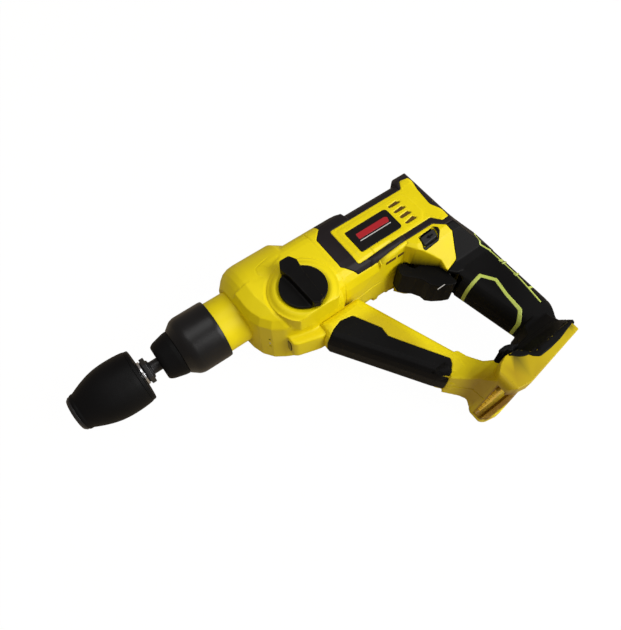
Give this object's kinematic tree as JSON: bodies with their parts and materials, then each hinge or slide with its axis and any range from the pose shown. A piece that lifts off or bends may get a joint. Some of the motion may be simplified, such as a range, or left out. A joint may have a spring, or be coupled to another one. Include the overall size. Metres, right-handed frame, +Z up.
{
  "type": "rotary hammer",
  "caption": "Cordless rotary hammer with D-handle, front strut, selector knob and a keyless chuck on a shank adapter, lying on its side.",
  "frame": {"origin": "centre of the bounding box's bottom face; the tool lies on its right side and the table is at Z = 0", "axes": "+X from the chuck to the rear along the spindle, +Y from the battery foot up to the body, +Z up from the table, out of the tool's left side"},
  "size_m": [0.333, 0.21, 0.0842],
  "materials": {
    "housing": "satin moulded, yellow",
    "rubber": "soft overmould, black",
    "dark_plastic": "moulded, black",
    "lime_plastic": "moulded, yellow-green",
    "steel": "ground",
    "dark_steel": "blackened",
    "alloy": "die cast",
    "windings": "laminations and copper windings",
    "nut_brass": "turned",
    "lamp": "clear"
  },
  "bodies": {
    "housing_group": {"gear_cover": "housing", "neck_tube": "housing", "left_housing": "housing", "right_housing": "housing", "left_band": "rubber", "right_band": "rubber", "left_grip": "rubber", "right_grip": "rubber", "rear_pads": "rubber", "left_accent": "lime_plastic", "right_accent": "lime_plastic", "strut_pad": "rubber", "left_plate": "dark_plastic", "right_plate": "dark_plastic", "knob_seal": "rubber", "neck_bearing": "steel", "mid_plate": "alloy", "spindle_rear_bearing": "steel", "wobble_hub": "steel", "inter_front_bearing": "steel", "inter_rear_bearing": "steel", "gear_plate": "alloy", "stator": "steel", "motor_front_bearing": "steel", "motor_rear_bearing": "steel", "motor_end_cap": "dark_plastic", "switch_body": "dark_plastic", "trigger_spring": "steel", "terminal_block": "dark_plastic", "case_screws": "steel", "lamp_window": "lamp"},
    "spindle_group": {"spindle": "steel", "dust_cap": "rubber", "spindle_gear": "steel", "sleeve_spring": "steel"},
    "locking_sleeve_group": {"locking_sleeve": "rubber", "lock_ring": "steel"},
    "lock_ball_a": {"lock_ball_upper": "steel"},
    "lock_ball_b": {"lock_ball_lower": "steel"},
    "impact_bolt_body": {"impact_bolt": "steel"},
    "striker_body": {"striker": "steel"},
    "piston_body": {"piston": "alloy"},
    "wobble_body": {"wobble_ring": "steel"},
    "inter_group": {"inter_shaft": "steel", "inter_gear": "steel"},
    "rotor_group": {"rotor_shaft": "steel", "rotor_core": "windings", "fan": "dark_plastic"},
    "adapter_group": {"adapter_shank": "dark_steel", "shank_washer": "steel", "chuck_body": "steel", "chuck_back": "rubber"},
    "chuck_sleeve_group": {"chuck_sleeve": "rubber", "chuck_nut": "nut_brass"},
    "jaw_a_body": {"jaw_a": "steel"},
    "jaw_b_body": {"jaw_b": "steel"},
    "jaw_c_body": {"jaw_c": "steel"},
    "knob_body": {"mode_knob": "rubber"},
    "trigger_body": {"trigger": "dark_plastic"},
    "lever_body": {"direction_lever": "dark_plastic"}
  },
  "joints": [
    {"name": "rotor_spin", "type": "hinge", "parent": "housing_group", "child": "rotor_group", "pos_m": [0.06875, 0.0575, 0.038], "axis": [1, 0, 0], "continuous": true},
    {"name": "inter_spin", "type": "hinge", "parent": "housing_group", "child": "inter_group", "pos_m": [0.00875, 0.0405, 0.038], "axis": [1, 0, 0], "continuous": true},
    {"name": "spindle_spin", "type": "hinge", "parent": "housing_group", "child": "spindle_group", "pos_m": [-0.05125, 0.0705, 0.038], "axis": [1, 0, 0], "continuous": true},
    {"name": "sleeve_pull", "type": "slide", "parent": "spindle_group", "child": "locking_sleeve_group", "axis": [1, 0, 0], "range_m": [0, 0.007], "stiffness_N_per_m": 700, "springref_m": -0.006, "deforming": ["sleeve_spring"]},
    {"name": "lock_ball_a_slide", "type": "slide", "parent": "spindle_group", "child": "lock_ball_a", "axis": [0, 1, 0], "range_m": [0, 0.0015]},
    {"name": "lock_ball_b_slide", "type": "slide", "parent": "spindle_group", "child": "lock_ball_b", "axis": [0, -1, 0], "range_m": [0, 0.0015]},
    {"name": "impact_bolt_slide", "type": "slide", "parent": "spindle_group", "child": "impact_bolt_body", "axis": [1, 0, 0], "range_m": [0, 0.0012]},
    {"name": "striker_slide", "type": "slide", "parent": "spindle_group", "child": "striker_body", "axis": [1, 0, 0], "range_m": [-0.002, 0.0025]},
    {"name": "wobble_swing", "type": "hinge", "parent": "housing_group", "child": "wobble_body", "pos_m": [0.00775, 0.0405, 0.038], "axis": [0, 0, 1], "range_deg": [-9, 9]},
    {"name": "piston_slide", "type": "slide", "parent": "housing_group", "child": "piston_body", "axis": [1, 0, 0], "range_m": [-0.0048, 0.0048]},
    {"name": "adapter_slide", "type": "slide", "parent": "spindle_group", "child": "adapter_group", "axis": [-1, 0, 0], "range_m": [0, 0.008]},
    {"name": "chuck_sleeve_turn", "type": "hinge", "parent": "adapter_group", "child": "chuck_sleeve_group", "pos_m": [-0.14125, 0.0705, 0.038], "axis": [1, 0, 0], "range_deg": [0, 2880]},
    {"name": "jaw_a_slide", "type": "slide", "parent": "adapter_group", "child": "jaw_a_body", "axis": [-0.9613, -0.2756, 0], "range_m": [0, 0.0121]},
    {"name": "jaw_b_slide", "type": "slide", "parent": "adapter_group", "child": "jaw_b_body", "axis": [-0.9613, 0.1378, -0.2387], "range_m": [0, 0.0121]},
    {"name": "jaw_c_slide", "type": "slide", "parent": "adapter_group", "child": "jaw_c_body", "axis": [-0.9613, 0.1378, 0.2387], "range_m": [0, 0.0121]},
    {"name": "mode_knob_turn", "type": "hinge", "parent": "housing_group", "child": "knob_body", "pos_m": [0.01125, 0.042, 0.078], "axis": [0, 0, 1], "range_deg": [-90, 90]},
    {"name": "trigger_pull", "type": "slide", "parent": "housing_group", "child": "trigger_body", "axis": [1, 0, 0], "range_m": [0, 0.006], "stiffness_N_per_m": 900, "springref_m": -0.004, "deforming": ["trigger_spring"]},
    {"name": "direction_lever_slide", "type": "slide", "parent": "housing_group", "child": "lever_body", "axis": [0, 0, 1], "range_m": [-0.003, 0.003]}
  ],
  "couplings": [
    {"joint": "inter_spin", "follows": "rotor_spin", "ratio": -0.25},
    {"joint": "spindle_spin", "follows": "rotor_spin", "ratio": 0.056122},
    {"joint": "lock_ball_a_slide", "follows": "sleeve_pull", "ratio": 0.2},
    {"joint": "lock_ball_b_slide", "follows": "sleeve_pull", "ratio": 0.2},
    {"joint": "piston_slide", "follows": "wobble_swing", "m_per_rad": -0.03},
    {"joint": "jaw_a_slide", "follows": "chuck_sleeve_turn", "m_per_rad": 0.00023873},
    {"joint": "jaw_b_slide", "follows": "chuck_sleeve_turn", "m_per_rad": 0.00023873},
    {"joint": "jaw_c_slide", "follows": "chuck_sleeve_turn", "m_per_rad": 0.00023873}
  ]
}
